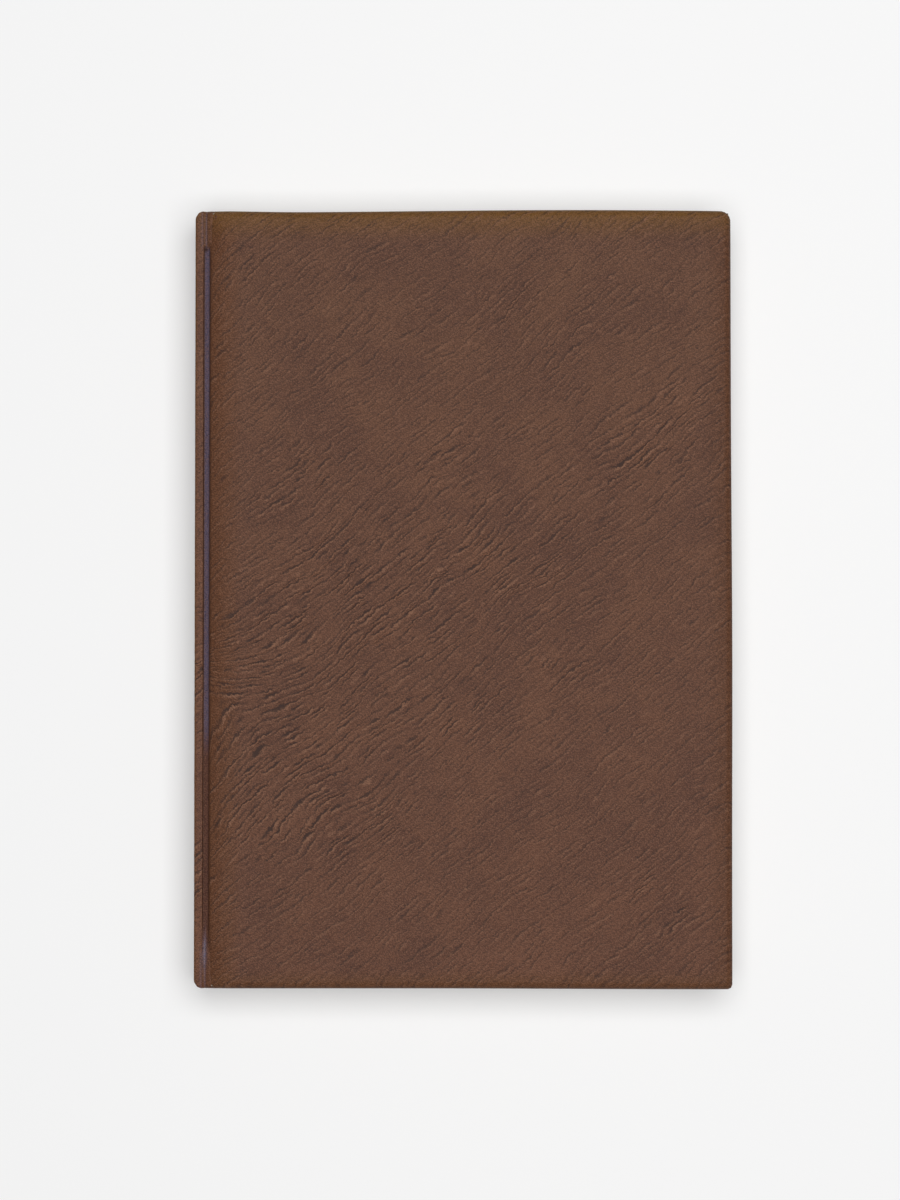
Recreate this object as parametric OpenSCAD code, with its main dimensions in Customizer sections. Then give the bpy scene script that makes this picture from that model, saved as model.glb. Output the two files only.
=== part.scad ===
// Padded journal in faux leather, bound in a stiff case with a flat spine.
// It lies closed on its back cover: X runs from spine to fore edge, Y from tail to head, Z up.
// The origin is under the middle of the closed book. Sizes are in millimetres.

/* [Case] */
// Width of the closed book, from the spine's outer face to the fore edge
cover_w = 145; // [110:1:220]
// Height of the covers, from tail to head
cover_h = 210; // [150:1:300]
// Radius of the covers' corners at the fore edge, seen from the front
cover_corner_r = 2; // [1:0.1:6]
// Radius of the spine's corners at head and tail, seen from the front
spine_corner_r = 2.3; // [1:0.1:3]
// Thickness of the leathercloth
leather_t = 0.6; // [0.4:0.05:0.8]
// Thickness of the cover boards
board_t = 2; // [1.5:0.1:2.6]
// Thickness of the spine board
spine_board_t = 1; // [0.6:0.1:1.4]
// Width of the leathercloth that is turned in over the boards
turn_in_w = 12; // [9:0.5:20]
// Width of the groove between the spine's shoulder and a cover
groove_w = 1.8; // [1.5:0.1:3]
// Radius of the spine's shoulder where its face turns into its edge
shoulder_r = 0.6; // [0.3:0.1:0.8]
// Length of the caps at head and tail, where the groove is nearly filled
cap_l = 10; // [5:0.5:20]
// How far the caps' filling lies below the spine's shoulder
cap_drop = 0.3; // [0.1:0.05:0.6]

/* [Padding] */
// Thickness of the foam at the middle of a cover
foam_t = 1.2; // [0.8:0.1:1.8]
// Distance from the rim over which the padding swells to its full height
swell_w = 8; // [5:0.5:20]
// How far the padded face falls towards the rim
swell_drop = 0.5; // [0.2:0.05:0.7]
// Radius of the soft rim at head, tail and fore edge
rim_r = 2; // [1:0.1:2.5]
// Width of the slope from the groove up to the padded face
slope_w = 5.4; // [4:0.1:10]
// How far the padded face falls towards the groove
slope_drop = 1.3; // [0.8:0.05:1.4]
// Radius of the cover's edge at the groove
groove_edge_r = 0.9; // [0.8:0.05:1.2]

/* [Book block] */
// Thickness of the pages, pressed together
pages_t = 10; // [8:0.5:30]
// Thickness of the endpapers
endpaper_t = 0.2; // [0.15:0.05:0.35]
// Overhang of the covers beyond the pages at head, tail and fore edge
overhang = 3; // [2:0.25:6]
// Margin of turned-in leathercloth that the pastedowns leave bare
pastedown_margin = 3.5; // [2:0.25:7]
// Thickness of the gauze on the spine of the pages
gauze_t = 0.3; // [0.2:0.05:0.5]
// Length by which the gauze stops short of head and tail
gauze_short = 12; // [5:1:30]
// Radius of the woven bands at head and tail
band_r = 0.9; // [0.6:0.1:1.5]

/* [Fits] */
// Glue line between leathercloth, board and foam
glue = 0.05; // [0.02:0.01:0.1]
// Clearance between the spine and a cover over the cover's whole swing
swing_gap = 0.15; // [0.1:0.01:0.25]
// Open space between the lined spine of the pages and the turned-in leathercloth
hollow = 0.4; // [0.3:0.05:1]
// Softness of the boards' edges inside the folded leathercloth
board_edge_r = 0.2; // [0.1:0.05:0.4]

/* [Hidden] */
$fn = 96;

// A cut reaches this far past the face that it opens
over = 1;
// A round starts this far outside the faces beside it, so that it meets them at a slight angle
lap = 0.03;

// Heights measured upwards from a cover's inner face
board_low = endpaper_t + leather_t + glue;
board_top = board_low + board_t;
cover_t = board_top + foam_t + glue + leather_t;

// The pages with both flyleaves, and the closed book
block_t = pages_t + 2 * endpaper_t;
book_t = block_t + 2 * cover_t;
block_low = cover_t;
block_top = cover_t + block_t;

// Distances measured from the spine's outer face towards the fore edge
strip_w = 2 * (leather_t + glue) + spine_board_t;
cover_near = strip_w + groove_w;
gauze_near = strip_w + hollow;
block_near = gauze_near + gauze_t;
block_far = cover_w - overhang;
block_half_h = cover_h / 2 - overhang;

// A cover turns about a line at the spine board's inner face,
// in the middle of the leathercloth that lines the groove
hinge_x = leather_t + glue + spine_board_t;
hinge_rise = endpaper_t + leather_t / 2;
hinge_low = block_low - hinge_rise;
hinge_top = block_top + hinge_rise;

// The near edge of a cover never comes closer to its hinge line than swing_r,
// and the shoulder rises as far as this circle allows
swing_r = cover_near - hinge_x - swing_gap;
shoulder_rise = shoulder_r + sqrt(pow(swing_r - shoulder_r, 2) - pow(hinge_x - shoulder_r, 2));
spine_low = hinge_low - shoulder_rise;
spine_top = hinge_top + shoulder_rise;
fold_r = leather_t + board_edge_r;

leather_brown = "#634739";
foam_grey = "#b9b6ae";
board_grey = "#8f8779";
page_cream = "#efe8d6";
endpaper_ivory = "#f3eee2";
gauze_white = "#dedacf";
band_brown = "#7a5a3c";

// Everything to the right of x, and everything on the given side of y
module beyond_corner(x, y, up, reach) {
    translate([x, -reach])
        square([reach, 2 * reach]);
    translate([-reach, up ? y : y - reach])
        square([2 * reach, reach]);
}

// One edge of a cover's section: X runs inwards from the edge, Y up from the inner face.
// A flat face falls over a wide arc by drop, then rounds into the edge, and folds under.
// Everything is drawn inset from the leathercloth's outer face.
module padded_edge(width, drop, edge_r, inset, reach) {
    arc_r = (width * width + drop * drop) / (2 * drop);
    arc_y = cover_t - arc_r + lap;
    edge_y = arc_y + sqrt(pow(arc_r - edge_r, 2) - pow(width - edge_r, 2)) + lap;
    fold_y = endpaper_t + fold_r - lap;
    intersection() {
        translate([inset, endpaper_t + inset])
            square([reach - inset, cover_t - endpaper_t - 2 * inset]);
        union() {
            translate([width, arc_y])
                circle(r = arc_r - inset);
            translate([width, 0])
                square([reach, cover_t + over]);
        }
        union() {
            translate([edge_r - lap, edge_y])
                circle(r = edge_r - inset);
            beyond_corner(edge_r - lap, edge_y, false, reach);
        }
        union() {
            translate([fold_r - lap, fold_y])
                circle(r = fold_r - inset);
            beyond_corner(fold_r - lap, fold_y, true, reach);
        }
    }
}

// Section of a cover from the groove to the fore edge
module section_across(inset) {
    reach = cover_w - cover_near;
    intersection() {
        translate([cover_near, 0])
            padded_edge(slope_w, slope_drop, groove_edge_r, inset, reach + over);
        translate([cover_w, 0])
            mirror([1, 0])
                padded_edge(swell_w, swell_drop, rim_r, inset, reach + over);
    }
}

// Section of a cover from tail to head
module section_along(inset) {
    intersection_for (side = [0, 1])
        mirror([side, 0])
            translate([-cover_h / 2, 0])
                padded_edge(swell_w, swell_drop, rim_r, inset, cover_h + over);
}

// A rectangle from x0 to x1, as high as half_h both ways, with two round corners at its far end
module round_ended(x0, x1, half_h, r) {
    translate([x0, -half_h])
        square([x1 - r - x0, 2 * half_h]);
    translate([x0, r - half_h])
        square([x1 - x0, 2 * (half_h - r)]);
    for (side = [-1, 1])
        translate([x1 - r, side * (half_h - r)])
            circle(r = r);
}

// The padded body of the front cover, inset from the leathercloth's outer face,
// standing on the plane of the cover's inner face
module cover_form(inset) {
    half_h = cover_h / 2;
    intersection() {
        translate([0, half_h, 0])
            rotate([90, 0, 0])
                linear_extrude(cover_h)
                    section_across(inset);
        translate([cover_near - over, 0, 0])
            rotate([90, 0, 90])
                linear_extrude(cover_w - cover_near + 2 * over)
                    section_along(inset);
        linear_extrude(cover_t)
            round_ended(cover_near - over, cover_w - inset + lap, half_h - inset + lap,
                        cover_corner_r - inset);
    }
}

// The space inside the turn-ins, where the pastedown lies on the board
module turn_in_window(inset, low, high) {
    half_h = cover_h / 2 - turn_in_w - inset;
    near = cover_near + leather_t + inset;
    translate([near, -half_h, low])
        cube([cover_w - turn_in_w - inset - near, 2 * half_h, high - low]);
}

module cover_leather() {
    color(leather_brown)
        difference() {
            cover_form(0);
            cover_form(leather_t);
            turn_in_window(0, 0, board_low);
        }
}

module cover_padding() {
    color(foam_grey)
        intersection() {
            cover_form(leather_t + glue);
            translate([0, -cover_h, board_top])
                cube([2 * cover_w, 2 * cover_h, cover_t]);
        }
}

module cover_board() {
    color(board_grey)
        intersection() {
            cover_form(leather_t + glue);
            translate([0, -cover_h, board_low])
                cube([2 * cover_w, 2 * cover_h, board_t]);
        }
}

// The pastedown lies on the turn-ins round its margin and steps down onto the board inside them
module pastedown() {
    half_h = cover_h / 2 - pastedown_margin;
    color(endpaper_ivory)
        difference() {
            union() {
                translate([cover_near, -half_h, 0])
                    cube([cover_w - pastedown_margin - cover_near, 2 * half_h, endpaper_t]);
                turn_in_window(glue, 0, board_low);
            }
            turn_in_window(glue + endpaper_t, -over, board_low - endpaper_t);
        }
}

// Moves a front cover's piece from the spine's outer face to its place on top of the pages
module at_front() {
    translate([-cover_w / 2, 0, block_top])
        children();
}

// Places the same piece under the pages, upside down
module at_back() {
    translate([-cover_w / 2, 0, block_low])
        mirror([0, 0, 1])
            children();
}

// Rounded outline of the spine's section, inset from its outer face
module spine_outline(inset) {
    r = shoulder_r - inset;
    rise = spine_top - spine_low - 2 * inset;
    translate([inset, spine_low + inset]) {
        if (r > 0) {
            translate([r, 0])
                square([strip_w - 2 * inset - r, rise]);
            translate([0, r])
                square([strip_w - 2 * inset, rise - 2 * r]);
            for (y = [r, rise - r])
                translate([r, y])
                    circle(r = r);
        } else {
            square([strip_w - 2 * inset, rise]);
        }
    }
}

// Section of the leathercloth in one groove, at the front: the floor, or the cap's raised filling
module groove_floor(top) {
    far = cover_near - swing_gap;
    low = block_top + endpaper_t;
    intersection() {
        translate([strip_w - leather_t, low])
            square([far - strip_w + leather_t, top - low]);
        translate([hinge_x, hinge_top])
            circle(r = swing_r);
    }
}

module mirrored_at_mid() {
    children();
    translate([0, book_t])
        mirror([0, 1])
            children();
}

// Plan of the spine, with its corners rounded and its ends inset
module spine_plan(inset) {
    translate([cover_near, 0])
        mirror([1, 0])
            round_ended(-over, cover_near - inset + lap, cover_h / 2 - inset + lap,
                        spine_corner_r - inset);
}

// Runs a section of the spine along Y, between two distances from the middle
module along_spine(from, to) {
    translate([0, to, 0])
        rotate([90, 0, 0])
            linear_extrude(to - from)
                children();
}

module spine_leather() {
    half_h = cover_h / 2;
    inner_h = half_h - turn_in_w;
    cap_top = spine_top - cap_drop;
    color(leather_brown)
        translate([-cover_w / 2, 0, 0])
            difference() {
                intersection() {
                    union() {
                        along_spine(-half_h, half_h) {
                            spine_outline(0);
                            mirrored_at_mid()
                                groove_floor(block_top + endpaper_t + leather_t);
                        }
                        for (side = [0, 1])
                            mirror([0, side, 0])
                                along_spine(half_h - cap_l, half_h)
                                    mirrored_at_mid()
                                        groove_floor(cap_top);
                    }
                    linear_extrude(book_t)
                        spine_plan(0);
                }
                spine_pocket(leather_t);
                translate([strip_w - leather_t - over / 2, -inner_h, block_low - endpaper_t])
                    cube([leather_t + over, 2 * inner_h, block_t + 2 * endpaper_t]);
            }
}

// The space that the spine board fills
module spine_pocket(inset) {
    intersection() {
        along_spine(inset - cover_h / 2, cover_h / 2 - inset)
            spine_outline(inset);
        linear_extrude(book_t)
            spine_plan(inset);
    }
}

module spine_board() {
    color(board_grey)
        translate([-cover_w / 2, 0, 0])
            spine_pocket(leather_t + glue);
}

module page_block() {
    color(page_cream)
        translate([block_near - cover_w / 2, -block_half_h, block_low + endpaper_t])
            cube([block_far - block_near, 2 * block_half_h, pages_t]);
}

// A flyleaf on top of the pages, with its fold at the spine and the strip that lines the groove
module flyleaf() {
    strip_l = cover_near - swing_gap - gauze_near;
    color(endpaper_ivory)
        translate([gauze_near, -block_half_h, -endpaper_t]) {
            cube([block_far - gauze_near, 2 * block_half_h, endpaper_t]);
            cube([strip_l, 2 * block_half_h, 2 * endpaper_t]);
        }
}

module spine_gauze() {
    half_h = block_half_h - gauze_short;
    color(gauze_white)
        translate([gauze_near - cover_w / 2, -half_h, block_low + endpaper_t])
            cube([gauze_t, 2 * half_h, pages_t]);
}

// A woven band across the edge of the pages, close to the spine
module band() {
    color(band_brown)
        translate([block_near + band_r - cover_w / 2, block_half_h, block_low + endpaper_t])
            intersection() {
                cylinder(r = band_r, h = pages_t);
                translate([-band_r, 0, 0])
                    cube([2 * band_r, band_r, pages_t]);
            }
}

at_front() cover_leather();  // front_leather
at_front() cover_padding();  // front_padding
at_front() cover_board();  // front_board
at_front() pastedown();  // front_pastedown
spine_leather();
spine_board();
at_back() cover_leather();  // back_leather
at_back() cover_padding();  // back_padding
at_back() cover_board();  // back_board
at_back() pastedown();  // back_pastedown
page_block();
at_front() flyleaf();  // front_flyleaf
at_back() flyleaf();  // back_flyleaf
spine_gauze();
band();  // head_band
mirror([0, 1, 0]) band();  // tail_band
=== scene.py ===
import math
import random

import bmesh
import bpy
import numpy as np
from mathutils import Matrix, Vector, noise


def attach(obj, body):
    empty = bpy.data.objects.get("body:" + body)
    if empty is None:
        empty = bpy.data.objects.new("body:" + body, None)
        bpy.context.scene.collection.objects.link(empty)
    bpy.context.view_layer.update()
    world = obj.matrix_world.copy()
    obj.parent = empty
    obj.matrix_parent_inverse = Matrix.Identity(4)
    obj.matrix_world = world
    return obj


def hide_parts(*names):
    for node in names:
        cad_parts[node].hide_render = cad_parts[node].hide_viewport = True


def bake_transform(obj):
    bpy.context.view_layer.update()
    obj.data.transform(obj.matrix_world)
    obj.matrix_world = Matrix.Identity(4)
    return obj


# A padded journal in brown leathercloth, closed on its back cover.
# Shapes are written in millimetres: u runs from the spine to the fore edge, y from tail to head,
# z from the table up. The row frame is u - HALF_WIDTH, y, z, in metres.

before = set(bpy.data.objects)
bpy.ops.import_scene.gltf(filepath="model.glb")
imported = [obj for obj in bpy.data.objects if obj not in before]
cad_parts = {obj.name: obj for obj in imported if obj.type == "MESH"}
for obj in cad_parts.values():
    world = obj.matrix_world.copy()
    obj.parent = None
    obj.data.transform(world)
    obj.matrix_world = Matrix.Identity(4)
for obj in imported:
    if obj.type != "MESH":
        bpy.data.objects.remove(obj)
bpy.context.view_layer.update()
scene = bpy.context.scene
rng = random.Random(1438)

MM = 0.001
HALF_WIDTH = 72.5
FAR_EDGE = 145.0
HALF_HEIGHT = 105.0
BOOK_THICK = 19.8
MID_HEIGHT = BOOK_THICK / 2

# The case's leathercloth and what it wraps.
LEATHER_THICK = 0.6
COVER_NEAR = 4.1
COVER_INNER = 15.3
TURN_IN = 12.0
TURN_IN_TOP = 15.9
CORNER_ZONE = 3.0
CORNER_SPREAD = 14
FACE_STEP = 0.68
RIM_ROUND = 2.0
GROOVE_EDGE_ROUND = 0.6
FOLD_ROUND = 0.8
GROOVE_FOLD_ROUND = 0.35
RELIEF_RINGS = 8
SWELL_WIDTH = 8.0
SWELL_DROP = 0.5
SLOPE_WIDTH = 5.4
SLOPE_DROP = 1.3
END_DROP = 0.55
PAD_FORE_CORNER = 3.0
PAD_NEAR_CORNER = 6.5

# The hinge line of the front cover; the back cover's is its mirror image.
HINGE_U = 1.65
PAPER_START = 2.98
PAPER_END = 3.95
CAP_START = 95.0
CAP_MARGIN = 1.2
ROW_STEP = 0.7

CREASE_ANGLE = math.radians(39)

# Patches of creased leathercloth on the front cover: u, y, half length, half width, strength.
FRONT_CREASES = [
    (45, -8, 46, 28, 0.55),
    (30, -48, 38, 22, 0.55),
    (96, 12, 34, 18, 0.25),
    (124, 40, 22, 14, 0.30),
    (26, 72, 26, 18, 0.18),
    (17, 92, 9, 5, 0.7),
    (85, 79, 9, 4, 0.6),
    (98, 69, 10, 5, 0.6),
    (130, 48, 12, 7, 0.6),
    (120, 38, 10, 6, 0.5),
    (67, 37, 9, 5, 0.7),
    (27, 30, 14, 7, 0.8),
    (75, 15, 10, 6, 1.0),
    (90, 4, 9, 6, 0.8),
    (33, 7, 14, 8, 0.9),
    (53, 0, 13, 7, 1.0),
    (17, -8, 11, 8, 0.9),
    (12, -24, 9, 8, 1.0),
    (25, -33, 12, 8, 0.9),
    (73, -33, 10, 5, 0.6),
    (104, -16, 10, 6, 0.7),
    (16, -54, 10, 8, 0.8),
    (30, -58, 12, 7, 0.8),
    (43, -66, 11, 6, 0.6),
    (120, -80, 9, 6, 0.8),
    (131, -84, 8, 5, 0.7),
]
BACK_CREASES = [
    (50, 20, 46, 28, 0.38),
    (100, -40, 40, 22, 0.30),
    (20, 70, 13, 8, 0.7),
    (60, 52, 12, 6, 0.6),
    (112, 60, 13, 7, 0.8),
    (40, 12, 14, 8, 0.9),
    (88, -4, 12, 7, 0.8),
    (18, -30, 12, 8, 1.0),
    (70, -52, 13, 7, 0.7),
    (124, -38, 11, 6, 0.8),
    (34, -82, 11, 6, 0.6),
]


def smooth(low, high, value):
    """0 below low, 1 above high, and an even curve between them."""
    share = np.clip((np.asarray(value, float) - low) / (high - low), 0, 1)
    return share * share * (3 - 2 * share)


def steps(low, high, count):
    """Evenly spaced values from low to high, both kept."""
    return list(np.linspace(low, high, count))


def spaced(stops, step):
    """Values through all stops, about one step apart."""
    values = [stops[0]]
    for low, high in zip(stops, stops[1:]):
        count = max(1, round((high - low) / step))
        values += steps(low, high, count + 1)[1:]
    return values


def turned_over(points):
    """The same shape on the other side of the pages, for the back cover."""
    turned = np.array(points, float)
    turned[..., 2] = BOOK_THICK - turned[..., 2]
    return turned


# Mesh making

def quads(rows, cols, first=0, ring=False):
    """Four-cornered faces of a grid of points; a ring closes on its first column."""
    cells = cols if ring else cols - 1
    row, col = np.meshgrid(np.arange(rows - 1), np.arange(cells), indexing="ij")
    following = (col + 1) % cols
    here, below = row * cols, (row + 1) * cols
    corners = [here + col, here + following, below + following, below + col]
    return (np.stack(corners, -1).reshape(-1, 4) + first).tolist()


def make_piece(name, points, faces, material, sharp=False):
    """A mesh object from points in millimetres, with all faces turned outward."""
    place = np.array(points, float).reshape(-1, 3)
    place[:, 0] -= HALF_WIDTH
    mesh = bpy.data.meshes.new(name)
    mesh.from_pydata((place * MM).tolist(), [], faces)
    shape = bmesh.new()
    shape.from_mesh(mesh)
    bmesh.ops.recalc_face_normals(shape, faces=shape.faces)
    shape.to_mesh(mesh)
    shape.free()
    mesh.polygons.foreach_set("use_smooth", [not sharp] * len(mesh.polygons))
    mesh.materials.append(material)
    piece = bpy.data.objects.new(name, mesh)
    scene.collection.objects.link(piece)
    return piece


def two_faced(outer, inner):
    """Points and faces of a thin closed sheet between two grids of the same size."""
    rows, cols = outer.shape[:2]
    count = rows * cols
    faces = quads(rows, cols) + quads(rows, cols, first=count)
    rim = list(range(cols))
    rim += [r * cols + cols - 1 for r in range(1, rows)]
    rim += [(rows - 1) * cols + c for c in range(cols - 2, -1, -1)]
    rim += [r * cols for r in range(rows - 2, 0, -1)]
    for here, there in zip(rim, rim[1:] + rim[:1]):
        faces.append([here, there, there + count, here + count])
    return np.concatenate([outer.reshape(-1, 3), inner.reshape(-1, 3)]), faces


def lofted(sections):
    """Points and faces of closed sections in a row, with both ends filled in."""
    rows, cols = sections.shape[:2]
    faces = quads(rows, cols, ring=True)
    faces.append(list(range(cols)))
    faces.append(list(range((rows - 1) * cols, rows * cols)))
    return sections.reshape(-1, 3), faces


def sheet_piece(name, outer, inner, front, material):
    """A closed sheet between two grids, turned over for the back cover."""
    if not front:
        outer, inner = turned_over(outer), turned_over(inner)
    return make_piece(name, *two_faced(outer, inner), material)


def write_masks(piece, **masks):
    """Numbers at each point of the mesh, which materials read by their names."""
    for name, values in masks.items():
        layer = piece.data.attributes.new(name, "FLOAT", "POINT")
        layer.data.foreach_set("value", np.asarray(values, np.float32))


# Node helpers

class Nodes:
    """Short calls for building one node tree."""

    def __init__(self, tree):
        self.tree = tree
        self.column = 0

    def add(self, kind, **settings):
        node = self.tree.nodes.new(kind)
        self.column += 1
        node.location = (self.column * 180, -(self.column % 4) * 160)
        for key, value in settings.items():
            setattr(node, key, value)
        return node

    def link(self, source, target):
        if isinstance(source, bpy.types.NodeSocket):
            self.tree.links.new(source, target)
        else:
            target.default_value = source

    def math(self, operation, first, second=None, clamp=False):
        node = self.add("ShaderNodeMath", operation=operation, use_clamp=clamp)
        self.link(first, node.inputs[0])
        if second is not None:
            self.link(second, node.inputs[1])
        return node.outputs[0]

    def weighted(self, first, first_share, second, second_share):
        """Each value times its own share, added up."""
        one = self.math("MULTIPLY", first, first_share)
        other = self.math("MULTIPLY", second, second_share)
        return self.math("ADD", one, other)

    def attribute(self, name):
        return self.add("ShaderNodeAttribute", attribute_name=name).outputs["Fac"]

    def split(self, vector):
        node = self.add("ShaderNodeSeparateXYZ")
        self.link(vector, node.inputs[0])
        return node.outputs

    def vector(self, operation, first, second=None):
        node = self.add("ShaderNodeVectorMath", operation=operation)
        self.link(first, node.inputs[0])
        if second is not None:
            self.link(second, node.inputs[1])
        return node.outputs[0]

    def scaled(self, vector, amount):
        node = self.add("ShaderNodeVectorMath", operation="SCALE")
        self.link(vector, node.inputs[0])
        self.link(amount, node.inputs["Scale"])
        return node.outputs[0]

    def range(self, value, low, high, to_low=0.0, to_high=1.0, smooth_step=True):
        node = self.add("ShaderNodeMapRange")
        node.interpolation_type = "SMOOTHSTEP" if smooth_step else "LINEAR"
        self.link(value, node.inputs["Value"])
        node.inputs["From Min"].default_value = low
        node.inputs["From Max"].default_value = high
        node.inputs["To Min"].default_value = to_low
        node.inputs["To Max"].default_value = to_high
        return node.outputs["Result"]

    def noise(self, vector, scale, detail=2.0, rough=0.5, colour=False):
        node = self.add("ShaderNodeTexNoise")
        self.link(vector, node.inputs["Vector"])
        node.inputs["Scale"].default_value = scale
        node.inputs["Detail"].default_value = detail
        node.inputs["Roughness"].default_value = rough
        return node.outputs["Color" if colour else "Fac"]

    def cells(self, vector, scale, feature="F1", random_place=1.0):
        node = self.add("ShaderNodeTexVoronoi", feature=feature)
        self.link(vector, node.inputs["Vector"])
        node.inputs["Scale"].default_value = scale
        node.inputs["Randomness"].default_value = random_place
        return node.outputs["Distance"]

    def mapped(self, vector, turn=(0, 0, 0), size=(1, 1, 1), move=(0, 0, 0)):
        node = self.add("ShaderNodeMapping")
        self.link(vector, node.inputs["Vector"])
        node.inputs["Location"].default_value = move
        node.inputs["Rotation"].default_value = turn
        node.inputs["Scale"].default_value = size
        return node.outputs["Vector"]

    def mix(self, share, first, second, blend="MIX"):
        node = self.add("ShaderNodeMix", data_type="RGBA", blend_type=blend)
        self.link(share, node.inputs["Factor"])
        for value, socket in ((first, node.inputs["A"]), (second, node.inputs["B"])):
            if isinstance(value, tuple):
                value = (*value, 1.0)
            self.link(value, socket)
        return node.outputs["Result"]

    def bump(self, height, strength, normal=None):
        """Height in millimetres."""
        node = self.add("ShaderNodeBump")
        node.inputs["Strength"].default_value = strength
        node.inputs["Distance"].default_value = MM
        self.link(height, node.inputs["Height"])
        if normal is not None:
            self.link(normal, node.inputs["Normal"])
        return node.outputs["Normal"]

    def group(self, name, **values):
        node = self.add("ShaderNodeGroup")
        node.node_tree = bpy.data.node_groups[name]
        for key, value in values.items():
            self.link(value, node.inputs[key.replace("_", " ")])
        return node.outputs


SOCKETS = {"value": "NodeSocketFloat", "vector": "NodeSocketVector", "colour": "NodeSocketColor"}


def make_group(name, takes, gives):
    """An empty shader node group with its sockets; takes and gives are lists of (name, kind, default)."""
    tree = bpy.data.node_groups.new(name, "ShaderNodeTree")
    for label, kind, default in takes:
        socket = tree.interface.new_socket(label, in_out="INPUT", socket_type=SOCKETS[kind])
        if default is not None:
            socket.default_value = default
    for label, kind in gives:
        tree.interface.new_socket(label, in_out="OUTPUT", socket_type=SOCKETS[kind])
    nodes = Nodes(tree)
    source = nodes.add("NodeGroupInput")
    result = nodes.add("NodeGroupOutput")
    return nodes, source.outputs, result.inputs


def build_pebble_grain():
    """Fine pebbled grain of embossed leathercloth: small rounded cells with pinched lines between them, and
    painted shade and painted highlight on opposite sides of each grain.
    """
    nodes, given, result = make_group(
        "pebble grain",
        [("Place", "vector", None), ("Cells per mm", "value", 1.5)],
        [("Height", "value"), ("Pits", "value"), ("Tops", "value")],
    )
    place = nodes.scaled(given["Place"], given["Cells per mm"])
    waver = nodes.scaled(nodes.noise(place, 0.9, 1.0, colour=True), 0.8)
    place = nodes.vector("ADD", place, waver)
    edge = nodes.cells(place, 1.0, "DISTANCE_TO_EDGE")
    dome = nodes.range(edge, 0.0, 0.30)
    fine = nodes.noise(place, 2.1, 2.0, 0.6)
    beside = nodes.noise(nodes.vector("ADD", place, (0.12, 0.30, 0.22)), 2.1, 2.0, 0.6)
    # tilt compares the grain's height here with its height a little beside it: painted shade on one side of
    # each grain, painted highlight on the other
    tilt = nodes.math("SUBTRACT", beside, fine)
    nodes.link(nodes.weighted(dome, 0.45, fine, 0.9), result["Height"])
    nodes.link(nodes.range(tilt, 0.01, 0.13), result["Pits"])
    nodes.link(nodes.range(tilt, -0.01, -0.13), result["Tops"])


def build_drawn_creases():
    """Fine ripples that run one way across the cloth, swelling and fading, with crinkled lines, painted shade
    in their valleys and a painted highlight on one side of each ripple.
    """
    nodes, given, result = make_group(
        "drawn creases",
        [("Place", "vector", None), ("Amount", "value", 1.0)],
        [("Height", "value"), ("Valleys", "value"), ("Lips", "value")],
    )
    middle = (0.5, 0.5, 0.5)
    wide = nodes.vector("SUBTRACT", nodes.noise(given["Place"], 0.03, 1.0, colour=True), middle)
    crinkle = nodes.vector("SUBTRACT", nodes.noise(given["Place"], 0.55, 3.0, 0.75, colour=True), middle)
    place = nodes.vector("ADD", given["Place"], nodes.scaled(wide, 9.0))
    place = nodes.vector("ADD", place, nodes.scaled(crinkle, 2.1))
    along = nodes.mapped(place, turn=(0, 0, -CREASE_ANGLE))
    sideways = nodes.split(along)["Y"]
    phases = []
    for pitch, drift_size, move, drift in (
        (1.20, (0.12, 0.34, 0.2), (0, 0, 0), 2.6),
        (1.90, (0.10, 0.24, 0.2), (31.0, 17.0, 5.0), 3.4),
    ):
        wander = nodes.noise(nodes.mapped(along, size=drift_size, move=move), 1.0, 1.0)
        across = nodes.math("ADD", sideways, nodes.math("MULTIPLY", wander, drift))
        phases.append(nodes.math("MULTIPLY", across, 2 * math.pi / pitch))

    def ripple(lead):
        """Two waves added up; lead moves both of them sideways."""
        first = nodes.math("COSINE", nodes.math("ADD", phases[0], lead))
        second = nodes.math("COSINE", nodes.math("ADD", phases[1], lead * 0.64))
        return nodes.weighted(first, 0.62, second, 0.38)

    low = ripple(0.0)
    swelling = nodes.noise(nodes.mapped(along, size=(0.16, 0.40, 0.3)), 1.0, 1.0)
    strength = nodes.range(swelling, 0.36, 0.64, 0.25, 1.0)
    # painted shade in the valleys, and a painted highlight on one side of each ripple, from the same ripple
    # moved sideways
    line = nodes.math("MULTIPLY", nodes.range(low, -0.05, 0.9), strength)
    lip = nodes.math("MULTIPLY", nodes.range(ripple(2.1), 0.0, 0.95), strength)
    height = nodes.math("MULTIPLY", nodes.math("MULTIPLY", low, -1.0), strength)
    for value, label in ((height, "Height"), (line, "Valleys"), (lip, "Lips")):
        nodes.link(nodes.math("MULTIPLY", value, given["Amount"]), result[label])


def build_cloudy_mottle():
    """Soft cloudy patches of lighter and darker colour."""
    nodes, given, result = make_group(
        "cloudy mottle",
        [("Place", "vector", None)],
        [("Clouds", "value"), ("Specks", "value")],
    )
    waver = nodes.scaled(nodes.noise(given["Place"], 0.05, 2.0, colour=True), 14.0)
    place = nodes.vector("ADD", given["Place"], waver)
    clouds = nodes.noise(place, 0.062, 3.0, 0.55)
    small = nodes.noise(place, 0.26, 3.0, 0.6)
    mixed = nodes.weighted(clouds, 0.72, small, 0.28)
    nodes.link(nodes.range(mixed, 0.33, 0.67), result["Clouds"])
    nodes.link(nodes.noise(given["Place"], 1.7, 2.0, 0.65), result["Specks"])


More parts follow.
